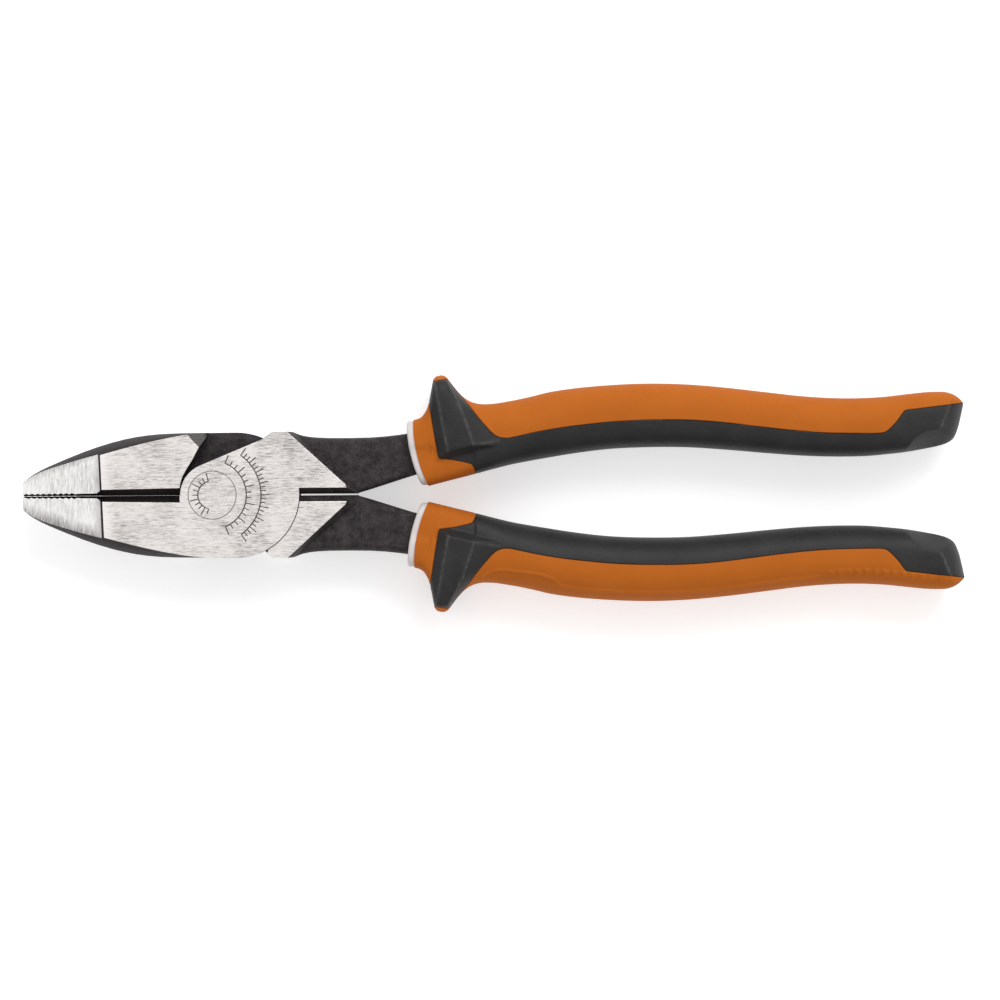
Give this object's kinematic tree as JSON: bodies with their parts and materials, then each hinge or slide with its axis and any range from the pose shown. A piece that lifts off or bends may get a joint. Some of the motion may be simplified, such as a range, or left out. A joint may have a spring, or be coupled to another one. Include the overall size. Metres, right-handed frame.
{
  "type": "lineman pliers",
  "caption": "High-leverage lineman's pliers: forged jaws with teeth and side cutters, a flush lap-joint rivet, and two-tone insulated handles with finger guards.",
  "frame": {"origin": "on the rivet's axis, in the ground back face of the head", "axes": "+X from the rivet towards the handles, +Y towards the upper handle, +Z from the back face of the head to its front face"},
  "size_m": [0.2373, 0.059, 0.0225],
  "materials": {
    "steel": "ground bright faces, black oxide elsewhere",
    "white_insulation": "satin",
    "orange_cover": "satin",
    "grey_grip": "fine matte grain"
  },
  "bodies": {
    "front_lever": {"front_half": "steel", "rivet": "steel", "upper_inner_sleeve": "white_insulation", "upper_cover": "orange_cover", "upper_grip": "grey_grip"},
    "rear_lever": {"rear_half": "steel", "lower_inner_sleeve": "white_insulation", "lower_cover": "orange_cover", "lower_grip": "grey_grip"}
  },
  "joints": [
    {"name": "jaw_pivot", "type": "hinge", "parent": "front_lever", "child": "rear_lever", "pos_m": [0, 0, 0], "axis": [0, 0, -1], "range_deg": [0, 40]}
  ]
}
